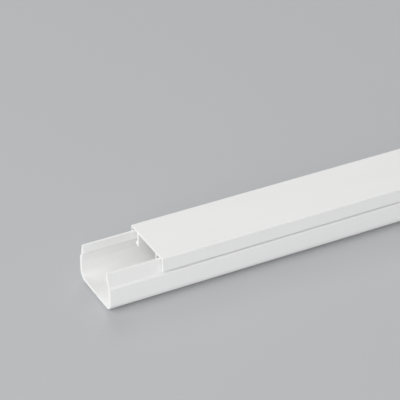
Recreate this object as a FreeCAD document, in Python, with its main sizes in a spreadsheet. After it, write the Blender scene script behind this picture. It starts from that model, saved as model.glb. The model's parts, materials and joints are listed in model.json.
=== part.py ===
"""A length of self-adhesive cord cover raceway: a U-shaped base, a clip-on cover and the tape on its back.

The raceway runs along X, Y is across it and Z is up. The origin is the middle of the face it lies on,
which is the outside of the release liner, half way along the base. Lengths are in millimetres.
Both extrusions are symmetric about the XZ plane, so each outline is drawn for the +Y half and mirrored.
"""

import FreeCAD, Part
import Sketcher
import os

# Driving dimensions: alias, value, what it is
SIZES = [
    ("stock_length", 400.0, "length that the base and the cover are sawn to"),
    ("trunk_width", 25.0, "width over the base's sides and over the cover"),
    ("trunk_height", 16.0, "from the base's back to the cover's face"),
    ("base_wall", 1.2, "thickness of the base's side walls"),
    ("floor_thickness", 1.2, "thickness of the base's floor"),
    ("outer_radius", 3.5, "outside radius between the base's back and its sides"),
    ("shoulder_height", 9.8, "from the base's back to the shoulder under the cover's flange"),
    ("shoulder_radius", 0.8, "radius of the shoulder's outer edge"),
    ("neck_height", 7.0, "from the base's back to where the inside of the wall starts to lean in"),
    ("rim_lean", 1.2, "how far the upper wall leans in between shoulder and rim"),
    ("rim_thickness", 0.85, "thickness of the wall at its rim"),
    ("lip_flare", 0.45, "how far the lip's edge stands in from the rim's inner edge"),
    ("lip_height", 11.9, "from the base's back to the lip's lower edge"),
    ("lip_undercut", 1.35, "how far the ledge runs back under the lip"),
    ("ledge_drop", 1.15, "how far the ledge slopes down over its undercut"),
    ("face_thickness", 0.9, "thickness of the cover's face"),
    ("face_radius", 0.4, "outside radius along the cover's long edges"),
    ("flange_thickness", 0.8, "thickness of the cover's outer flanges"),
    ("side_clearance", 0.15, "between the cover's flange and the step in the base"),
    ("seat_clearance", 0.1, "between the base's rim and the underside of the cover's face"),
    ("seam_gap", 0.75, "between the flange's lower edge and the shoulder"),
    ("leg_thickness", 1.2, "thickness of the cover's snap legs"),
    ("leg_clearance", 1.2, "between the leg's outer side and the lip's edge"),
    ("barb_catch", 0.4, "how far the barb reaches under the lip past its edge"),
    ("catch_clearance", 1.0, "height between the barb and the ledge above it"),
    ("barb_depth", 0.8, "from the barb's tip down to the end of the leg"),
    ("toe_width", 1.3, "flat width at the end of the leg"),
    ("die_radius", 0.25, "small radius on the extrusions' corners"),
    ("rim_radius", 0.2, "radius on both edges of the base's rims"),
    ("root_radius", 0.4, "radius where the legs and flanges meet the cover's face"),
    ("barb_radius", 0.15, "radius at the barb's tip and at the leg's toe"),
    ("cover_setback", 20.4, "how far the cover is slid back from the base's end"),
    ("tape_width", 16.0, "width of the foam tape and its liner"),
    ("tape_thickness", 1.0, "thickness of the foam tape"),
    ("tape_setback", 1.5, "how far the tape and its liner stop short of the base's ends"),
    ("liner_thickness", 0.12, "thickness of the release liner"),
]

# Places across the half outlines, as expressions of the driving dimensions
SIDE = "Sizes.trunk_width / 2"
INNER_WALL = SIDE + " - Sizes.base_wall"
STEP = SIDE + " - Sizes.flange_thickness - Sizes.side_clearance"
RIM_OUTSIDE = STEP + " - Sizes.rim_lean"
RIM_INSIDE = RIM_OUTSIDE + " - Sizes.rim_thickness"
LIP_EDGE = RIM_INSIDE + " - Sizes.lip_flare"
LEDGE_ROOT = LIP_EDGE + " + Sizes.lip_undercut"
FLANGE_INSIDE = SIDE + " - Sizes.flange_thickness"
LEG_OUTSIDE = LIP_EDGE + " - Sizes.leg_clearance"
LEG_INSIDE = LEG_OUTSIDE + " - Sizes.leg_thickness"
TOE = LEG_INSIDE + " + Sizes.toe_width"
BARB_TIP = LIP_EDGE + " + Sizes.barb_catch"

# Heights of the half outlines above the base's back
LEDGE_SLOPE = "Sizes.ledge_drop / Sizes.lip_undercut"
FACE_UNDERSIDE = "Sizes.trunk_height - Sizes.face_thickness"
RIM_TOP = FACE_UNDERSIDE + " - Sizes.seat_clearance"
LEDGE_ROOT_HEIGHT = "Sizes.lip_height - Sizes.ledge_drop"
FLANGE_EDGE = "Sizes.shoulder_height + Sizes.seam_gap"
BARB_ROOT_HEIGHT = f"Sizes.lip_height - Sizes.catch_clearance + Sizes.leg_clearance * {LEDGE_SLOPE}"
BARB_TIP_HEIGHT = f"Sizes.lip_height - Sizes.catch_clearance - Sizes.barb_catch * {LEDGE_SLOPE}"
LEG_END = BARB_TIP_HEIGHT + " - Sizes.barb_depth"

TAPE_STACK = "Sizes.tape_thickness + Sizes.liner_thickness"

# Half outlines: corner name, place across, height above the base's back
BASE_OUTLINE = [
    ("back_middle", "0", "0"),
    ("back_corner", SIDE, "0"),
    ("shoulder", SIDE, "Sizes.shoulder_height"),
    ("step", STEP, "Sizes.shoulder_height"),
    ("rim_outside", RIM_OUTSIDE, RIM_TOP),
    ("rim_inside", RIM_INSIDE, RIM_TOP),
    ("lip", LIP_EDGE, "Sizes.lip_height"),
    ("ledge_root", LEDGE_ROOT, LEDGE_ROOT_HEIGHT),
    ("neck", INNER_WALL, "Sizes.neck_height"),
    ("floor_corner", INNER_WALL, "Sizes.floor_thickness"),
    ("floor_middle", "0", "Sizes.floor_thickness"),
]
COVER_OUTLINE = [
    ("underside_middle", "0", FACE_UNDERSIDE),
    ("leg_root_inside", LEG_INSIDE, FACE_UNDERSIDE),
    ("toe_inside", LEG_INSIDE, LEG_END),
    ("toe_outside", TOE, LEG_END),
    ("barb_tip", BARB_TIP, BARB_TIP_HEIGHT),
    ("barb_root", LEG_OUTSIDE, BARB_ROOT_HEIGHT),
    ("leg_root_outside", LEG_OUTSIDE, FACE_UNDERSIDE),
    ("flange_root", FLANGE_INSIDE, FACE_UNDERSIDE),
    ("flange_inside", FLANGE_INSIDE, FLANGE_EDGE),
    ("flange_outside", SIDE, FLANGE_EDGE),
    ("face_edge", SIDE, "Sizes.trunk_height"),
    ("face_middle", "0", "Sizes.trunk_height"),
]

# A round takes at most this share of the wall it is on, so that two of them leave a flat between
WALL_SHARE = 0.45

# The shoulder has one round, which leaves a narrow flat beside the step
SHOULDER_FACE = "(Sizes.flange_thickness + Sizes.side_clearance)"
SHOULDER_SHARE = 0.85

# How near, in mm, an edge has to pass to a sketched corner to be that corner's edge
SAME_PLACE = 0.001


def make_sheet(doc):
    """The spreadsheet of driving dimensions, one row for each, with its alias and meaning."""
    sheet = doc.addObject("Spreadsheet::Sheet", "Sizes")
    for row, (alias, value, meaning) in enumerate(SIZES, start=1):
        sheet.set(f"A{row}", alias)
        sheet.set(f"B{row}", str(value))
        sheet.setAlias(f"B{row}", alias)
        sheet.set(f"C{row}", meaning)
    doc.recompute()
    return sheet


def origin_plane(body, role):
    """One of the body's own origin planes."""
    return next(plane for plane in body.Origin.OriginFeatures if plane.Role == role)


def draw_outline(body, outline):
    """A closed sketch of the half outline across the raceway, with each corner tied to the sheet.

    A line between two corners with the same place or height is made vertical or horizontal, and a
    corner at 0 lies on that axis. Everything else is a distance from the origin.
    """
    sketch = body.newObject("Sketcher::SketchObject", body.Label + "_outline")
    sketch.AttachmentSupport = (origin_plane(body, "YZ_Plane"), [""])
    sketch.MapMode = "FlatFace"

    # The first guess is the solution itself, so that the solver keeps the outline's shape
    guess = [
        FreeCAD.Vector(sketch.evalExpression(place), sketch.evalExpression(height), 0)
        for _, place, height in outline
    ]
    count = len(outline)
    for i in range(count):
        sketch.addGeometry(Part.LineSegment(guess[i], guess[(i + 1) % count]), False)
    for i in range(count):
        sketch.addConstraint(Sketcher.Constraint("Coincident", i, 2, (i + 1) % count, 1))

    for i, (corner, place, height) in enumerate(outline):
        _, last_place, last_height = outline[i - 1]
        tie_corner(sketch, i, corner, "DistanceX", "Vertical", -2, place, last_place)
        tie_corner(sketch, i, corner, "DistanceY", "Horizontal", -1, height, last_height)
    return sketch


def tie_corner(sketch, index, corner, distance, aligned, axis, value, last_value):
    """Ties one coordinate of the corner at the start of line `index`."""
    if value == "0":
        sketch.addConstraint(Sketcher.Constraint("PointOnObject", index, 1, axis))
    elif index > 0 and value == last_value:
        sketch.addConstraint(Sketcher.Constraint(aligned, index - 1))
    else:
        size = sketch.evalExpression(value)
        number = sketch.addConstraint(Sketcher.Constraint(distance, -1, 1, index, 1, size))
        name = corner + ("_across" if distance == "DistanceX" else "_height")
        sketch.renameConstraint(number, name)
        sketch.setExpression("Constraints." + name, value)


def extrude_both_halves(body, sketch):
    """Pads the half outline to the stock length, half each way, and mirrors it to the other side."""
    pad = body.newObject("PartDesign::Pad", body.Label + "_half")
    pad.Profile = sketch
    pad.SideType = "Symmetric"
    pad.setExpression("Length", "Sizes.stock_length")
    mirrored = body.newObject("PartDesign::Mirrored", body.Label + "_both_halves")
    mirrored.Originals = [pad]
    mirrored.MirrorPlane = (origin_plane(body, "XZ_Plane"), [""])
    mirrored.Refine = True
    body.Tip = mirrored
    body.Document.recompute()
    return mirrored


def corner_places(sketch, outline, corners):
    """Where the named corners were drawn, on both sides of the mirror plane."""
    names = [corner for corner, _, _ in outline]
    places = []
    for corner in corners:
        point = sketch.getPoint(names.index(corner), 1)
        places += [(point.x, point.y), (-point.x, point.y)]
    return places


def edges_at(shape, places):
    """Names of the long edges that run along X through the given places."""
    found = []
    for number, edge in enumerate(shape.Edges, start=1):
        start, end = edge.Vertexes[0].Point, edge.Vertexes[-1].Point
        runs_along = abs(start.y - end.y) < SAME_PLACE and abs(start.z - end.z) < SAME_PLACE
        at_corner = any(abs(start.y - y) < SAME_PLACE and abs(start.z - z) < SAME_PLACE for y, z in places)
        if runs_along and at_corner and abs(start.x - end.x) > SAME_PLACE:
            found.append(f"Edge{number}")
    return found


def limited(radius, wall, share=WALL_SHARE):
    """A radius of the sheet, or less where its wall is too thin for it."""
    return f"min(Sizes.{radius}; {wall} * {share})"


def round_corners(body, sketch, outline, name, corners, radius):
    """Rounds the long edges at the named corners of the outline."""
    sharp = body.Tip
    places = corner_places(sketch, outline, corners)
    edges = edges_at(sharp.Shape, places)
    if len(edges) != len(places):
        raise RuntimeError(f"{name}: {len(edges)} edges found for {len(places)} corners")
    fillet = body.newObject("PartDesign::Fillet", name)
    fillet.Base = (sharp, edges)
    fillet.setExpression("Radius", radius)
    body.Tip = fillet
    body.Document.recompute()
    if abs(fillet.Shape.Volume - sharp.Shape.Volume) < SAME_PLACE:
        raise RuntimeError(f"{name} rounded nothing")


def make_base(doc):
    """The U-shaped base: floor, rounded corners, side walls, shoulders, and rims with a lip inside."""
    body = doc.addObject("PartDesign::Body", "base_channel")
    body.Label = "base_channel"
    sketch = draw_outline(body, BASE_OUTLINE)
    extrude_both_halves(body, sketch)
    inner_radius = "max(Sizes.outer_radius - Sizes.base_wall; Sizes.die_radius)"
    rounds = [
        ("back_rounds", ["back_corner"], "Sizes.outer_radius"),
        ("floor_rounds", ["floor_corner"], inner_radius),
        ("shoulder_rounds", ["shoulder"], limited("shoulder_radius", SHOULDER_FACE, SHOULDER_SHARE)),
        ("rim_rounds", ["rim_outside", "rim_inside"], limited("rim_radius", "Sizes.rim_thickness")),
        ("lip_rounds", ["lip", "ledge_root"], limited("die_radius", "Sizes.lip_undercut")),
    ]
    for name, corners, radius in rounds:
        round_corners(body, sketch, BASE_OUTLINE, name, corners, radius)
    body.setExpression("Placement.Base.z", TAPE_STACK)
    return body


def make_cover(doc):
    """The clip-on cover: flat face, outer flanges, and two legs with a barb that sits under the lip."""
    body = doc.addObject("PartDesign::Body", "snap_cover")
    body.Label = "snap_cover"
    sketch = draw_outline(body, COVER_OUTLINE)
    extrude_both_halves(body, sketch)
    flange_radius = limited("die_radius", "Sizes.flange_thickness")
    barb_radius = limited("barb_radius", "Sizes.toe_width")
    rounds = [
        ("face_rounds", ["face_edge"], limited("face_radius", "Sizes.face_thickness")),
        ("flange_rounds", ["flange_inside", "flange_outside"], flange_radius),
        ("root_rounds", ["leg_root_inside", "leg_root_outside", "flange_root"], "Sizes.root_radius"),
        ("barb_rounds", ["barb_tip", "toe_inside", "toe_outside"], barb_radius),
    ]
    for name, corners, radius in rounds:
        round_corners(body, sketch, COVER_OUTLINE, name, corners, radius)
    body.setExpression("Placement.Base.x", "Sizes.cover_setback")
    body.setExpression("Placement.Base.z", TAPE_STACK)
    return body


def make_strip(doc, name, thickness, height):
    """A flat strip centred under the base's back, as wide as the tape and set back from both ends."""
    strip = doc.addObject("Part::Box", name)
    strip.Label = name
    strip.setExpression("Length", "Sizes.stock_length - 2 * Sizes.tape_setback")
    strip.setExpression("Width", "Sizes.tape_width")
    strip.setExpression("Height", thickness)
    strip.setExpression("Placement.Base.x", "Sizes.tape_setback - Sizes.stock_length / 2")
    strip.setExpression("Placement.Base.y", "-Sizes.tape_width / 2")
    strip.setExpression("Placement.Base.z", height)
    return strip


def check(doc, pieces):
    """Stops if any object failed to build or any piece is not one valid solid."""
    for thing in doc.Objects:
        if "Invalid" in thing.State or "Error" in thing.State:
            raise RuntimeError(f"{thing.Label} failed: {thing.State}")
    for piece in pieces:
        shape = piece.Shape
        if shape.isNull() or not shape.isValid() or len(shape.Solids) != 1:
            raise RuntimeError(f"{piece.Label} is not one valid solid")


def main():
    doc = FreeCAD.newDocument("raceway")
    make_sheet(doc)
    pieces = [
        make_base(doc),
        make_cover(doc),
        make_strip(doc, "foam_tape", "Sizes.tape_thickness", "Sizes.liner_thickness"),
        make_strip(doc, "release_liner", "Sizes.liner_thickness", "0"),
    ]
    doc.recompute()
    check(doc, pieces)

    os.makedirs("parts", exist_ok=True)
    for piece in pieces:
        piece.Shape.exportStep(f"parts/{piece.Label}.step")
        print(piece.Label, round(piece.Shape.Volume, 2), piece.Shape.BoundBox)


main()
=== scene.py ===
"""A white cord cover raceway with its cover slid back from the sawn end, on a plain pale floor.

Every piece is a section swept along X: an outline of sharp corners, each with its own radius, closed and
symmetric, so that only its +Y half is written. The pieces' own sizes are in millimetres, and the scene's in
metres, in the part's frame: X along the raceway, Y across it, Z up from the floor.
"""

import bpy
import json
import math
from mathutils import Euler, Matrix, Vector


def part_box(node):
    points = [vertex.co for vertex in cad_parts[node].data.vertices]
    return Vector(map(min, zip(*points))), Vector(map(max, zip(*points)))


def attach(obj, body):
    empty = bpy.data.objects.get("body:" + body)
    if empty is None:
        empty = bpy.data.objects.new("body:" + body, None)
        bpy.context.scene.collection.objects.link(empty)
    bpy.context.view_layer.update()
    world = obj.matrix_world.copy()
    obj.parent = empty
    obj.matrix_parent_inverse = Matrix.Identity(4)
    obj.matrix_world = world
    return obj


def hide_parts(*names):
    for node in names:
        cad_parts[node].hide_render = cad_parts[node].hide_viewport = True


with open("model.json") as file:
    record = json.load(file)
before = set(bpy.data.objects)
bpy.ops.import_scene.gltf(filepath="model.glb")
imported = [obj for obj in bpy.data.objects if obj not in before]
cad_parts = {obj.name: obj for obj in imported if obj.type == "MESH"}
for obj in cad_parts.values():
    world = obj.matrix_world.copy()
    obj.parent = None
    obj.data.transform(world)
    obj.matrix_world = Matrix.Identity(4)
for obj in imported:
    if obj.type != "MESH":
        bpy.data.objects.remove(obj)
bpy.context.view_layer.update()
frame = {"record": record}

MM = 0.001

# The extrusions' sections, in millimetres across from the middle and up from the base's back
WALL = 1.2
OUTER_RADIUS = 3.5
SHOULDER_HEIGHT = 9.8
SHOULDER_RADIUS = 0.8
NECK_HEIGHT = 7.0
RIM_LEAN = 1.2
RIM_THICKNESS = 0.85
LIP_FLARE = 0.45
LIP_HEIGHT = 11.9
LIP_UNDERCUT = 1.35
LEDGE_DROP = 1.15
FACE_THICKNESS = 0.9
FACE_RADIUS = 0.4
FLANGE_THICKNESS = 0.8
SIDE_CLEARANCE = 0.15
SEAM_GAP = 0.75
LEG_THICKNESS = 1.2
LEG_CLEARANCE = 1.2
BARB_CATCH = 0.4
CATCH_CLEARANCE = 1.0
BARB_DEPTH = 0.8
TOE_WIDTH = 1.3
DIE_RADIUS = 0.25
RIM_RADIUS = 0.2
ROOT_RADIUS = 0.4
BARB_RADIUS = 0.15
INNER_RADIUS = 0.2
STEP_RADIUS = 0.1
NECK_RADIUS = 2.0
TAPE_RADIUS = 0.08
LINER_RADIUS = 0.04

# How much of the end edges the saw breaks off the plastic, and the knife off the strips, in millimetres
EDGE_BREAK = 0.08
STRIP_BREAK = 0.02

# A quarter turn has a point about this often, in millimetres, and any arc has at least this many
ARC_STEP = 0.25
FEWEST_ARC_POINTS = 5

# Edges that turn by more than this stay sharp
SHARP_ANGLE = math.radians(30)

# A face whose normal has more than this along X belongs to a sawn end or its broken edge
END_FACING = 0.5

# Sizes of the finishes' patterns, in millimetres, and the slant of the blade's marks
DIE_LINES = (90.0, 0.35, 0.35)
WHITE_CLOUDS = (40.0, 12.0, 12.0)
BLADE_STEP = 0.25
BLADE_SLANT = math.radians(35)
FOAM_CELL = 0.25
PAPER_FIBRES = (1.2, 0.3, 0.3)

# How deep the finishes' relief is, in millimetres
DIE_LINE_DEPTH = 0.01
BLADE_MARK_DEPTH = 0.02
FOAM_CELL_DEPTH = 0.05
FIBRE_DEPTH = 0.01

# The roughness of the smoothest and the roughest spots of the PVC's skin and of the paper's coat
SATIN_SKIN = {"To Min": 0.34, "To Max": 0.44}
SILICONE_COAT = {"To Min": 0.4, "To Max": 0.5}

# How strongly rigid PVC bends light
PVC_IOR = 1.53

# A wave texture of scale 1 has its bands this far apart
WAVE_PERIOD = math.pi / 10

# Noise seldom leaves this range, so a finish's colours and roughness are spread over it
NOISE_RANGE = {"From Min": 0.3, "From Max": 0.7}

# The photograph's camera: its direction in degrees, its lens and sensor in millimetres, and its picture's
# side in pixels. The base's near lower corner falls on this pixel, this many metres in front of the camera
VIEW_AZIMUTH = -27.81
VIEW_ELEVATION = 32.39
LENS = 160.6
SENSOR = 36.0
PICTURE = 400.0
CORNER_PIXEL = (110.7, 313.0)
CORNER_DEPTH = 0.619

# Each soft light: where it stands, its width and height, and its power in watts. All look at one point
LIGHTS = {
    "softbox_front": ((-1.38, -1.44, 1.44), 1.44, 1.44, 19.0),
    "softbox_left": ((-1.7, 0.0, 1.76), 1.44, 1.44, 15.3),
    "softbox_back": ((0.54, 1.6, 1.92), 1.44, 1.44, 12.2),
    "softbox_end": ((-2.02, -0.96, 0.24), 0.96, 0.42, 8.8),
}
LIT_POINT = (-0.1, 0.0, 0.0)
ROOM_STRENGTH = 0.3

# The floor's colour to the eye and as a bounce, and the colour above the horizon, as pale as the lit floor
FLOOR_COLOUR = "#C6C8CA"
FLOOR_BOUNCE = "#E4E5E7"
BACKDROP_COLOUR = "#BEC0C2"

# How far the floor reaches each way, and between which distances it takes on a glow of this strength
FLOOR_REACH = 30.0
LIT_FLOOR = 0.3
FAR_FLOOR = 4.2
FAR_STRENGTH = 0.57


def linear(hex_colour):
    """An sRGB hex colour as linear RGBA."""
    channels = [int(hex_colour[i:i + 2], 16) / 255 for i in (1, 3, 5)]
    return tuple(c / 12.92 if c <= 0.04045 else ((c + 0.055) / 1.055) ** 2.4 for c in channels) + (1.0,)


def add(tree, kind, settings=None, inputs=None):
    """Adds a node: settings are its properties, and inputs are sockets to link to it or constants."""
    node = tree.nodes.new(kind)
    for name, value in (settings or {}).items():
        setattr(node, name, value)
    for name, value in (inputs or {}).items():
        if isinstance(value, bpy.types.NodeSocket):
            tree.links.new(value, node.inputs[name])
        else:
            node.inputs[name].default_value = value
    return node


def new_material(name):
    """An empty node material: (material, tree)."""
    made = bpy.data.materials.new(name)
    made.use_nodes = True
    made.node_tree.nodes.clear()
    return made, made.node_tree


def surface(tree, finish):
    """The shader of a material, with its finish: sockets and constants for the shader's inputs."""
    shader = add(tree, "ShaderNodeBsdfPrincipled", inputs=finish)
    add(tree, "ShaderNodeOutputMaterial", inputs={"Surface": shader.outputs["BSDF"]})


def spaced_noise(tree, spacing, detail, roughness):
    """Noise over Object coordinates whose features are this far apart, in mm, along X, Y and Z."""
    place = add(tree, "ShaderNodeTexCoord")
    scaled = add(
        tree, "ShaderNodeMapping",
        inputs={"Vector": place.outputs["Object"], "Scale": [1 / (size * MM) for size in spacing]},
    )
    noise = add(
        tree, "ShaderNodeTexNoise",
        inputs={"Vector": scaled.outputs["Vector"], "Scale": 1.0, "Detail": detail, "Roughness": roughness},
    )
    return noise.outputs["Fac"]


def shade_between(tree, value, first, second):
    """A colour between two hex colours, by a noise or wave value."""
    spread = add(tree, "ShaderNodeMapRange", inputs={"Value": value, **NOISE_RANGE})
    mix = add(
        tree, "ShaderNodeMix", {"data_type": "RGBA"},
        {"Factor": spread.outputs["Result"], "A": linear(first), "B": linear(second)},
    )
    return mix.outputs["Result"]


def extruded_upvc():
    """Extruded rigid PVC: an even neutral white, with a satin face and hair-fine die lines along it."""
    made, tree = new_material("upvc_extruded_satin")
    die_lines = spaced_noise(tree, DIE_LINES, detail=3.0, roughness=0.6)
    lined = add(
        tree, "ShaderNodeBump",
        inputs={"Height": die_lines, "Strength": 0.25, "Distance": DIE_LINE_DEPTH * MM},
    )
    satin = add(tree, "ShaderNodeMapRange", inputs={"Value": die_lines, **NOISE_RANGE, **SATIN_SKIN})

    # The white wanders very slightly over a few centimetres
    clouds = spaced_noise(tree, WHITE_CLOUDS, detail=2.0, roughness=0.5)
    surface(tree, {
        "Base Color": shade_between(tree, clouds, "#F6F6F5", "#F8F8F7"),
        "Roughness": satin.outputs["Result"],
        "IOR": PVC_IOR,
        "Normal": lined.outputs["Normal"],
    })
    return made


def sawn_upvc():
    """The sawn end of the same PVC: matt, where the blade has torn the skin in fine slanted steps."""
    made, tree = new_material("upvc_sawn_matt")
    place = add(tree, "ShaderNodeTexCoord")
    slanted = add(
        tree, "ShaderNodeMapping",
        inputs={
            "Vector": place.outputs["Object"],
            "Rotation": (BLADE_SLANT, 0.0, 0.0),
            "Scale": (1 / MM, 1 / MM, 1 / MM),
        },
    )
    marks = add(
        tree, "ShaderNodeTexWave", {"bands_direction": "Z"},
        {
            "Vector": slanted.outputs["Vector"],
            "Scale": WAVE_PERIOD / BLADE_STEP,
            "Distortion": 3.0,
            "Detail": 3.0,
            "Detail Scale": 1.5,
        },
    )
    stepped = add(
        tree, "ShaderNodeBump",
        inputs={"Height": marks.outputs["Fac"], "Strength": 0.3, "Distance": BLADE_MARK_DEPTH * MM},
    )
    surface(tree, {
        "Base Color": shade_between(tree, marks.outputs["Fac"], "#F1F1F0", "#F6F6F5"),
        "Roughness": 0.75,
        "IOR": PVC_IOR,
        "Normal": stepped.outputs["Normal"],
    })
    return made


def cut_foam():
    """Closed-cell polyethylene foam, slit: soft dull white, pitted by its cut cells."""
    made, tree = new_material("pe_foam_slit")
    place = add(tree, "ShaderNodeTexCoord")
    cells = add(
        tree, "ShaderNodeTexVoronoi",
        inputs={"Vector": place.outputs["Object"], "Scale": 1 / (FOAM_CELL * MM)},
    )
    pitted = add(
        tree, "ShaderNodeBump",
        inputs={"Height": cells.outputs["Distance"], "Strength": 0.6, "Distance": FOAM_CELL_DEPTH * MM},
    )
    surface(tree, {"Base Color": linear("#F1F1EE"), "Roughness": 0.95, "Normal": pitted.outputs["Normal"]})
    return made


def coated_paper():
    """Release paper with a silicone coat: a strong even yellow, slightly glossy, with faint fibres."""
    made, tree = new_material("release_paper_siliconised")
    fibres = spaced_noise(tree, PAPER_FIBRES, detail=4.0, roughness=0.65)
    felted = add(
        tree, "ShaderNodeBump", inputs={"Height": fibres, "Strength": 0.3, "Distance": FIBRE_DEPTH * MM}
    )
    coated = add(tree, "ShaderNodeMapRange", inputs={"Value": fibres, **NOISE_RANGE, **SILICONE_COAT})
    surface(tree, {
        "Base Color": shade_between(tree, fibres, "#F8BC38", "#FAC443"),
        "Roughness": coated.outputs["Result"],
        "Normal": felted.outputs["Normal"],
    })
    return made


def base_section(side, rim):
    """The base's section from its back round one side to its floor: (across, up, corner radius)."""
    step = side - FLANGE_THICKNESS - SIDE_CLEARANCE
    rim_outside = step - RIM_LEAN
    rim_inside = rim_outside - RIM_THICKNESS
    lip = rim_inside - LIP_FLARE
    return [
        (side, 0, OUTER_RADIUS),
        (side, SHOULDER_HEIGHT, SHOULDER_RADIUS),
        (step, SHOULDER_HEIGHT, STEP_RADIUS),
        (rim_outside, rim, RIM_RADIUS),
        (rim_inside, rim, RIM_RADIUS),
        (lip, LIP_HEIGHT, DIE_RADIUS),
        (lip + LIP_UNDERCUT, LIP_HEIGHT - LEDGE_DROP, DIE_RADIUS),
        (side - WALL, NECK_HEIGHT, NECK_RADIUS),
        (side - WALL, WALL, OUTER_RADIUS - WALL),
    ]


def cover_section(side, top):
    """The cover's section from under its face, round a leg and a flange, to its face."""
    lip = side - FLANGE_THICKNESS - SIDE_CLEARANCE - RIM_LEAN - RIM_THICKNESS - LIP_FLARE
    leg_outside = lip - LEG_CLEARANCE
    leg_inside = leg_outside - LEG_THICKNESS
    slope = LEDGE_DROP / LIP_UNDERCUT
    catch = LIP_HEIGHT - CATCH_CLEARANCE
    barb = catch - BARB_CATCH * slope
    underside = top - FACE_THICKNESS
    flange_edge = SHOULDER_HEIGHT + SEAM_GAP
    flange_inside = side - FLANGE_THICKNESS
    return [
        (leg_inside, underside, ROOT_RADIUS),
        (leg_inside, barb - BARB_DEPTH, BARB_RADIUS),
        (leg_inside + TOE_WIDTH, barb - BARB_DEPTH, BARB_RADIUS),
        (lip + BARB_CATCH, barb, BARB_RADIUS),
        (leg_outside, catch + LEG_CLEARANCE * slope, INNER_RADIUS),
        (leg_outside, underside, ROOT_RADIUS),
        (flange_inside, underside, ROOT_RADIUS),
        (flange_inside, flange_edge, DIE_RADIUS),
        (side, flange_edge, DIE_RADIUS),
        (side, top, FACE_RADIUS),
    ]


def strip_section(side, thickness, radius):
    """A flat strip's section: its two corners on one side."""
    return [(side, 0, radius), (side, thickness, radius)]


def outline_object(name, section, back):
    """A closed outline in the XY plane, both halves, with a radius and an arc's points at each corner."""
    other_side = [(-y, z, r) for y, z, r in reversed(section)]
    corners = section + other_side
    count = len(corners)
    arc_points = [max(FEWEST_ARC_POINTS, int(r * math.pi / 2 / ARC_STEP)) for _, _, r in corners]

    mesh = bpy.data.meshes.new(name)
    places = [(y * MM, back + z * MM, 0.0) for y, z, _ in corners]
    mesh.from_pydata(places, [(i, (i + 1) % count) for i in range(count)], [])
    radii = mesh.attributes.new("corner_radius", "FLOAT", "POINT")
    radii.data.foreach_set("value", [r * MM for _, _, r in corners])
    points = mesh.attributes.new("arc_points", "INT", "POINT")
    points.data.foreach_set("value", arc_points)
    outline = bpy.data.objects.new(name, mesh)
    bpy.context.scene.collection.objects.link(outline)
    return outline


def rounded_outline(tree, outline, broken):
    """The outline with its corners rounded, and the offset that breaks its edge: (curve, offset)."""
    sharp = add(tree, "GeometryNodeMeshToCurve", inputs={"Mesh": outline})
    radius = add(
        tree, "GeometryNodeInputNamedAttribute", {"data_type": "FLOAT"}, {"Name": "corner_radius"}
    )
    points = add(tree, "GeometryNodeInputNamedAttribute", {"data_type": "INT"}, {"Name": "arc_points"})
    rounded = add(
        tree, "GeometryNodeFilletCurve", {"mode": "POLY"},
        {
            "Curve": sharp.outputs["Curve"],
            "Radius": radius.outputs["Attribute"],
            "Count": points.outputs["Attribute"],
            "Limit Radius": True,
        },
    )

    # Inwards in the outline's plane, whose X and Y become the piece's Y and Z
    along = add(tree, "GeometryNodeInputTangent")
    inwards = add(
        tree, "ShaderNodeVectorMath", {"operation": "CROSS_PRODUCT"},
        {0: (0.0, 0.0, 1.0), 1: along.outputs["Tangent"]},
    )
    flat = add(tree, "ShaderNodeSeparateXYZ", inputs={"Vector": inwards.outputs["Vector"]})
    facing = add(tree, "ShaderNodeCombineXYZ", inputs={"Y": flat.outputs["X"], "Z": flat.outputs["Y"]})
    offset = add(
        tree, "ShaderNodeVectorMath", {"operation": "SCALE"},
        {0: facing.outputs["Vector"], "Scale": broken},
    )
    kept = add(tree, "GeometryNodeCaptureAttribute", inputs={"Geometry": rounded.outputs["Curve"]})
    kept.capture_items.new("VECTOR", "Offset")
    tree.links.new(offset.outputs["Vector"], kept.inputs["Offset"])
    return kept.outputs["Geometry"], kept.outputs["Offset"]


def ringed_path(tree, start, end, broken):
    """A path along X with a point at each end and one just inside it: (curve, which are the ends)."""
    second = add(tree, "ShaderNodeMath", {"operation": "ADD"}, {0: start, 1: broken})
    third = add(tree, "ShaderNodeMath", {"operation": "SUBTRACT"}, {0: end, 1: broken})
    stations = (start, second.outputs["Value"], third.outputs["Value"], end)
    index = add(tree, "GeometryNodeInputIndex")
    station = add(tree, "GeometryNodeIndexSwitch", {"data_type": "FLOAT"}, {"Index": index.outputs["Index"]})
    while len(station.index_switch_items) < len(stations):
        station.index_switch_items.new()
    for number, distance in enumerate(stations):
        tree.links.new(distance, station.inputs[str(number)])

    line = add(tree, "GeometryNodeMeshLine", inputs={"Count": len(stations)})
    place = add(tree, "ShaderNodeCombineXYZ", inputs={"X": station.outputs["Output"]})
    spaced = add(
        tree, "GeometryNodeSetPosition",
        inputs={"Geometry": line.outputs["Mesh"], "Position": place.outputs["Vector"]},
    )
    path = add(tree, "GeometryNodeMeshToCurve", inputs={"Mesh": spaced.outputs["Geometry"]})
    upright = add(tree, "GeometryNodeSetCurveNormal", {"mode": "Z_UP"}, {"Curve": path.outputs["Curve"]})
    turned = add(
        tree, "GeometryNodeSetCurveTilt", inputs={"Curve": upright.outputs["Curve"], "Tilt": math.pi}
    )
    ends = add(tree, "GeometryNodeCurveEndpointSelection")
    kept = add(tree, "GeometryNodeCaptureAttribute", inputs={"Geometry": turned.outputs["Curve"]})
    kept.capture_items.new("BOOLEAN", "At end")
    tree.links.new(ends.outputs["Selection"], kept.inputs["At end"])
    return kept.outputs["Geometry"], kept.outputs["At end"]


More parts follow.
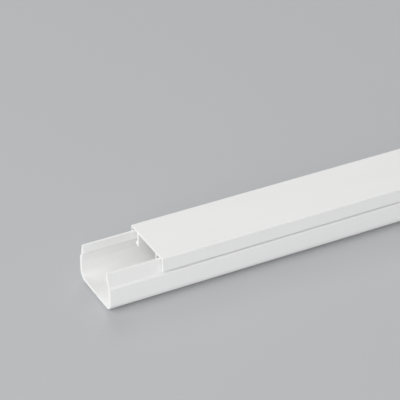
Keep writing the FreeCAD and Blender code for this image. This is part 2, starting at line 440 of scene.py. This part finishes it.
def creased_surface(tree, mesh):
    """The surface shaded smooth round its arcs and sharp where it turns hard."""
    turn = add(tree, "GeometryNodeInputMeshEdgeAngle")
    hard = add(
        tree, "ShaderNodeMath", {"operation": "GREATER_THAN"},
        {0: turn.outputs["Unsigned Angle"], 1: SHARP_ANGLE},
    )
    smooth = add(tree, "GeometryNodeSetShadeSmooth", inputs={"Geometry": mesh})
    creased = add(
        tree, "GeometryNodeSetShadeSmooth", {"domain": "EDGE"},
        {"Geometry": smooth.outputs["Geometry"], "Selection": hard.outputs["Value"], "Shade Smooth": False},
    )
    return creased.outputs["Geometry"]


def faces_along(tree):
    """Which faces look along the raceway: its sawn ends and their broken edges."""
    normal = add(tree, "GeometryNodeInputNormal")
    parts = add(tree, "ShaderNodeSeparateXYZ", inputs={"Vector": normal.outputs["Normal"]})
    size = add(tree, "ShaderNodeMath", {"operation": "ABSOLUTE"}, {0: parts.outputs["X"]})
    along = add(
        tree, "ShaderNodeMath", {"operation": "GREATER_THAN"}, {0: size.outputs["Value"], 1: END_FACING}
    )
    return along.outputs["Value"]


def sweep_tree():
    """Geometry nodes that round an outline's corners and sweep it along X between two sawn ends."""
    tree = bpy.data.node_groups.new("swept_section", "GeometryNodeTree")
    inputs = [
        ("Outline", "NodeSocketGeometry"),
        ("Start", "NodeSocketFloat"),
        ("End", "NodeSocketFloat"),
        ("Edge break", "NodeSocketFloat"),
        ("Skin", "NodeSocketMaterial"),
        ("Sawn end", "NodeSocketMaterial"),
    ]
    for name, kind in inputs:
        tree.interface.new_socket(name, in_out="INPUT", socket_type=kind)
    tree.interface.new_socket("Piece", in_out="OUTPUT", socket_type="NodeSocketGeometry")
    given = add(tree, "NodeGroupInput").outputs

    profile, offset = rounded_outline(tree, given["Outline"], given["Edge break"])
    path, at_end = ringed_path(tree, given["Start"], given["End"], given["Edge break"])
    swept = add(
        tree, "GeometryNodeCurveToMesh", inputs={"Curve": path, "Profile Curve": profile, "Fill Caps": True}
    )
    broken = add(
        tree, "GeometryNodeSetPosition",
        inputs={"Geometry": swept.outputs["Mesh"], "Selection": at_end, "Offset": offset},
    )
    creased = creased_surface(tree, broken.outputs["Geometry"])

    solid = add(tree, "GeometryNodeRealizeInstances", inputs={"Geometry": creased})
    skinned = add(
        tree, "GeometryNodeSetMaterial",
        inputs={"Geometry": solid.outputs["Geometry"], "Material": given["Skin"]},
    )
    finished = add(
        tree, "GeometryNodeSetMaterial",
        inputs={
            "Geometry": skinned.outputs["Geometry"],
            "Selection": faces_along(tree),
            "Material": given["Sawn end"],
        },
    )
    add(tree, "NodeGroupOutput", inputs={"Piece": finished.outputs["Geometry"]})
    return tree


def sweep(tree, name, node, section, back, broken, skin, sawn):
    """One piece: its section, with its zero height at `back`, swept from end to end of its plain solid."""
    low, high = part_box(node)
    outline = outline_object(name + "_outline", section, back)
    nodes = outline.modifiers.new("sweep", "NODES")
    nodes.node_group = tree
    socket = {item.name: item.identifier for item in tree.interface.items_tree if item.in_out == "INPUT"}
    nodes[socket["Start"]] = low.x
    nodes[socket["End"]] = high.x
    nodes[socket["Edge break"]] = broken * MM
    nodes[socket["Skin"]] = skin
    nodes[socket["Sawn end"]] = sawn

    # Normals weighted by area keep the flats flat beside the small arcs
    weighted = outline.modifiers.new("flat_flats", "WEIGHTED_NORMAL")
    weighted.keep_sharp = True

    ready = outline.evaluated_get(bpy.context.evaluated_depsgraph_get())
    mesh = bpy.data.meshes.new_from_object(ready)
    mesh.name = name
    piece = bpy.data.objects.new(name, mesh)
    bpy.context.scene.collection.objects.link(piece)
    bpy.data.objects.remove(outline)
    return piece


def make_pieces():
    """The base, the cover, the foam tape and its liner, each in place of its plain solid."""
    tree = sweep_tree()
    skin, sawn, foam, paper = extruded_upvc(), sawn_upvc(), cut_foam(), coated_paper()
    base_low, base_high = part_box("base_channel")
    _, cover_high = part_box("snap_cover")
    back = base_low.z
    side = (base_high.y - base_low.y) / 2 / MM
    rim = (base_high.z - back) / MM
    top = (cover_high.z - back) / MM

    plastic = [
        ("base_extrusion", "base_channel", base_section(side, rim)),
        ("cover_extrusion", "snap_cover", cover_section(side, top)),
    ]
    for name, node, section in plastic:
        piece = sweep(tree, name, node, section, back, EDGE_BREAK, skin, sawn)
        stand_for(piece, node)

    strips = [
        ("foam_strip", "foam_tape", TAPE_RADIUS, foam),
        ("liner_strip", "release_liner", LINER_RADIUS, paper),
    ]
    for name, node, radius, finish in strips:
        low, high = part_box(node)
        section = strip_section((high.y - low.y) / 2 / MM, (high.z - low.z) / MM, radius)
        piece = sweep(tree, name, node, section, low.z, STRIP_BREAK, finish, finish)
        stand_for(piece, node)


def stand_for(piece, node):
    """The piece takes its plain solid's place and rides on its body."""
    record = frame["record"]
    body = next(name for name, nodes in record["behaviour"]["bodies"].items() if node in nodes)
    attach(piece, body)
    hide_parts(node)


def seen_rays(tree):
    """1 on what the eye sees, straight or in a mirror or glass, and 0 on what only lights other things."""
    ray = add(tree, "ShaderNodeLightPath").outputs
    mirrored = add(
        tree, "ShaderNodeMath", {"operation": "MAXIMUM"},
        {0: ray["Is Glossy Ray"], 1: ray["Is Transmission Ray"]},
    )
    seen = add(
        tree, "ShaderNodeMath", {"operation": "MAXIMUM"},
        {0: ray["Is Camera Ray"], 1: mirrored.outputs["Value"]},
    )
    return seen.outputs["Value"]


def floor_finish():
    """A matt painted floor: pale grey to the eye, and a little paler as a bounce."""
    made, tree = new_material("floor_pale_matt")
    seen = seen_rays(tree)
    paint = add(
        tree, "ShaderNodeMix", {"data_type": "RGBA"},
        {"Factor": seen, "A": linear(FLOOR_BOUNCE), "B": linear(FLOOR_COLOUR)},
    )

    # Beyond the lights' reach the eye, and nothing else, finds the floor as pale as near the raceway
    place = add(tree, "ShaderNodeTexCoord")
    away = add(tree, "ShaderNodeVectorMath", {"operation": "LENGTH"}, {0: place.outputs["Object"]})
    fade = add(
        tree, "ShaderNodeMapRange", {"interpolation_type": "SMOOTHSTEP"},
        {
            "Value": away.outputs["Value"],
            "From Min": LIT_FLOOR,
            "From Max": FAR_FLOOR,
            "To Min": 0.0,
            "To Max": FAR_STRENGTH,
        },
    )
    glow = add(tree, "ShaderNodeMath", {"operation": "MULTIPLY"}, {0: fade.outputs["Result"], 1: seen})
    surface(tree, {
        "Base Color": paint.outputs["Result"],
        "Roughness": 0.9,
        "Emission Color": linear(FLOOR_COLOUR),
        "Emission Strength": glow.outputs["Value"],
    })
    return made


def make_floor():
    """A plain floor that fills every view."""
    mesh = bpy.data.meshes.new("floor")
    corners = [(-1, -1), (1, -1), (1, 1), (-1, 1)]
    mesh.from_pydata([(x * FLOOR_REACH, y * FLOOR_REACH, 0) for x, y in corners], [], [(0, 1, 2, 3)])
    mesh.materials.append(floor_finish())
    floor = bpy.data.objects.new("floor", mesh)
    bpy.context.scene.collection.objects.link(floor)


def area_light(name, place, width, height, power):
    """A soft rectangular light that looks at the lit point."""
    lamp = bpy.data.lights.new(name, "AREA")
    lamp.shape = "RECTANGLE"
    lamp.size = width
    lamp.size_y = height
    lamp.energy = power
    light = bpy.data.objects.new(name, lamp)
    light.location = place
    light.rotation_euler = (Vector(LIT_POINT) - Vector(place)).to_track_quat("-Z", "Y").to_euler()
    bpy.context.scene.collection.objects.link(light)


def light_scene():
    """An even pale room, and soft lights in front, high on the left, behind and low at the open end."""
    world = bpy.data.worlds.new("room")
    world.use_nodes = True
    tree = world.node_tree
    tree.nodes.clear()
    room = add(
        tree, "ShaderNodeBackground", inputs={"Color": linear("#FFFFFF"), "Strength": ROOM_STRENGTH}
    )
    backdrop = add(tree, "ShaderNodeBackground", inputs={"Color": linear(BACKDROP_COLOUR), "Strength": 1.0})
    both = add(
        tree, "ShaderNodeMixShader",
        inputs={0: seen_rays(tree), 1: room.outputs["Background"], 2: backdrop.outputs["Background"]},
    )
    add(tree, "ShaderNodeOutputWorld", inputs={"Surface": both.outputs["Shader"]})
    bpy.context.scene.world = world
    for name, (place, width, height, power) in LIGHTS.items():
        area_light(name, place, width, height, power)


def place_camera():
    """The photograph's camera, placed so that the base's near lower corner falls on its pixel."""
    low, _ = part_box("base_channel")
    turn = Euler((math.radians(90 - VIEW_ELEVATION), 0.0, math.radians(VIEW_AZIMUTH)))
    per_pixel = SENSOR / LENS / PICTURE * CORNER_DEPTH
    across = (CORNER_PIXEL[0] - PICTURE / 2) * per_pixel
    down = (CORNER_PIXEL[1] - PICTURE / 2) * per_pixel
    corner = Vector((across, -down, -CORNER_DEPTH))
    corner.rotate(turn)
    camera = bpy.data.cameras.new("camera")
    camera.lens = LENS
    camera.sensor_width = SENSOR
    camera.clip_start = 0.01
    camera.clip_end = 50.0
    holder = bpy.data.objects.new("camera", camera)
    holder.location = low - corner
    holder.rotation_euler = turn
    bpy.context.scene.collection.objects.link(holder)
    bpy.context.scene.camera = holder


make_pieces()
make_floor()
light_scene()
place_camera()
bpy.context.scene.view_settings.view_transform = "Standard"
